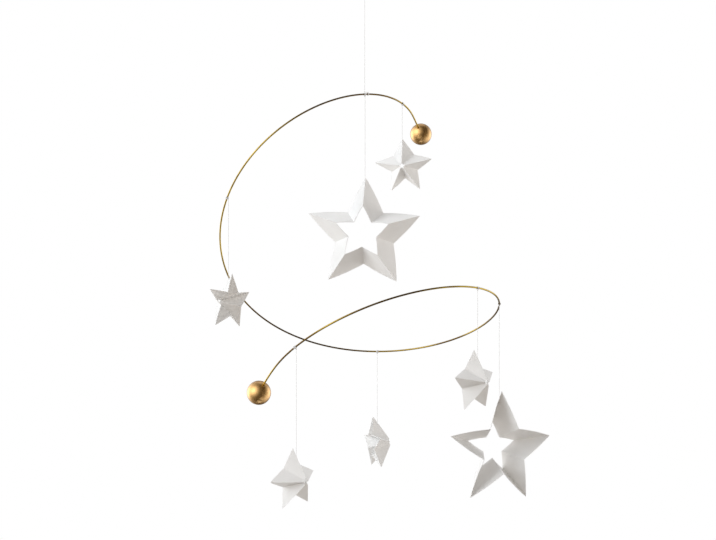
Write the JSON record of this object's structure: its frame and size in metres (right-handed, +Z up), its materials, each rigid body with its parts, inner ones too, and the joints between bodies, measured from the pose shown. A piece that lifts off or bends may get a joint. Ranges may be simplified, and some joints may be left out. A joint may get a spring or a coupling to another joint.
{
  "type": "star mobile",
  "caption": "Hanging mobile: folded white card stars on threads below one open, leaning coil of brass wire that ends in gold balls.",
  "frame": {"origin": "inside of the hanging loop's top, where a hook carries the mobile; the whole mobile hangs below it", "axes": "+Z up, +X to the right and +Y away from the front, as seen in the picture"},
  "size_m": [0.362, 0.297, 0.5556],
  "materials": {
    "thread": "white twisted thread",
    "wire": "satin drawn brass wire",
    "ball": "satin metallic gold lacquer on a turned bead",
    "card": "matte white card, creased and folded"
  },
  "bodies": {
    "loop": {"hanging_loop": "thread"},
    "hanging_thread": {"hanging_thread": "thread"},
    "hanging_knot": {"hanging_knot": "thread"},
    "coil": {"wire_coil": "wire", "upper_ball": "ball", "lower_ball": "ball", "tie_top": "thread", "tie_centre": "thread", "tie_left": "thread", "tie_low_left": "thread", "tie_low_middle": "thread", "tie_low_right": "thread", "tie_right": "thread"},
    "thread_top": {"thread_top": "thread"},
    "thread_centre": {"thread_centre": "thread"},
    "thread_left": {"thread_left": "thread"},
    "thread_low_left": {"thread_low_left": "thread"},
    "thread_low_middle": {"thread_low_middle": "thread"},
    "thread_low_right": {"thread_low_right": "thread"},
    "thread_right": {"thread_right": "thread"},
    "star_top": {"star_top": "card"},
    "star_centre": {"star_centre": "card"},
    "star_left": {"star_left": "card"},
    "star_low_left": {"star_low_left": "card"},
    "star_low_middle": {"star_low_middle": "card"},
    "star_low_right": {"star_low_right": "card"},
    "star_right": {"star_right": "card"}
  },
  "joints": [
    {"name": "mobile_swing", "type": "hinge", "parent": "loop", "child": "hanging_thread", "pos_m": [0, 0, -0.0167], "axis": [-0.1738, -0.9848, 0], "range_deg": [-10, 10]},
    {"name": "mobile_turn", "type": "hinge", "parent": "hanging_thread", "child": "hanging_knot", "pos_m": [0, 0, -0.1197], "axis": [0, 0, 1], "continuous": true},
    {"name": "mobile_rock", "type": "hinge", "parent": "hanging_knot", "child": "coil", "pos_m": [0, 0, -0.1197], "axis": [-0.1738, -0.9848, 0], "range_deg": [-8, 8]},
    {"name": "swing_top", "type": "hinge", "parent": "coil", "child": "thread_top", "pos_m": [0.04237, 0.04971, -0.1296], "axis": [0.9025, -0.4307, 0], "range_deg": [-15, 15]},
    {"name": "turn_top", "type": "hinge", "parent": "thread_top", "child": "star_top", "pos_m": [0.04237, 0.04971, -0.1741], "axis": [0, 0, 1], "continuous": true},
    {"name": "swing_centre", "type": "hinge", "parent": "coil", "child": "thread_centre", "pos_m": [0.0004, 0.00033, -0.12487], "axis": [-0.3652, -0.9309, 0], "range_deg": [-15, 15]},
    {"name": "turn_centre", "type": "hinge", "parent": "thread_centre", "child": "star_centre", "pos_m": [0.0004, 0.00033, -0.22017], "axis": [0, 0, 1], "continuous": true},
    {"name": "swing_left", "type": "hinge", "parent": "coil", "child": "thread_left", "pos_m": [-0.14666, -0.02049, -0.23736], "axis": [-0.9979, 0.0649, 0], "range_deg": [-15, 15]},
    {"name": "turn_left", "type": "hinge", "parent": "thread_left", "child": "star_left", "pos_m": [-0.14666, -0.02049, -0.32506], "axis": [0, 0, 1], "continuous": true},
    {"name": "swing_low_left", "type": "hinge", "parent": "coil", "child": "thread_low_left", "pos_m": [-0.06849, -0.14497, -0.39248], "axis": [0.1736, 0.9848, 0], "range_deg": [-15, 15]},
    {"name": "turn_low_left", "type": "hinge", "parent": "thread_low_left", "child": "star_low_left", "pos_m": [-0.06849, -0.14497, -0.49868], "axis": [0, 0, 1], "continuous": true},
    {"name": "swing_low_middle", "type": "hinge", "parent": "coil", "child": "thread_low_middle", "pos_m": [0.01502, 0.10102, -0.4107], "axis": [0.9484, -0.3171, 0], "range_deg": [-15, 15]},
    {"name": "turn_low_middle", "type": "hinge", "parent": "thread_low_middle", "child": "star_low_middle", "pos_m": [0.01502, 0.10102, -0.4907], "axis": [0, 0, 1], "continuous": true},
    {"name": "swing_low_right", "type": "hinge", "parent": "coil", "child": "thread_low_right", "pos_m": [0.11385, -0.11436, -0.33451], "axis": [0.282, 0.9594, 0], "range_deg": [-15, 15]},
    {"name": "turn_low_right", "type": "hinge", "parent": "thread_low_right", "child": "star_low_right", "pos_m": [0.11385, -0.11436, -0.40271], "axis": [0, 0, 1], "continuous": true},
    {"name": "swing_right", "type": "hinge", "parent": "coil", "child": "thread_right", "pos_m": [0.1425, -0.04352, -0.35241], "axis": [-1, 0.0061, 0], "range_deg": [-15, 15]},
    {"name": "turn_right", "type": "hinge", "parent": "thread_right", "child": "star_right", "pos_m": [0.1425, -0.04352, -0.44931], "axis": [0, 0, 1], "continuous": true}
  ]
}
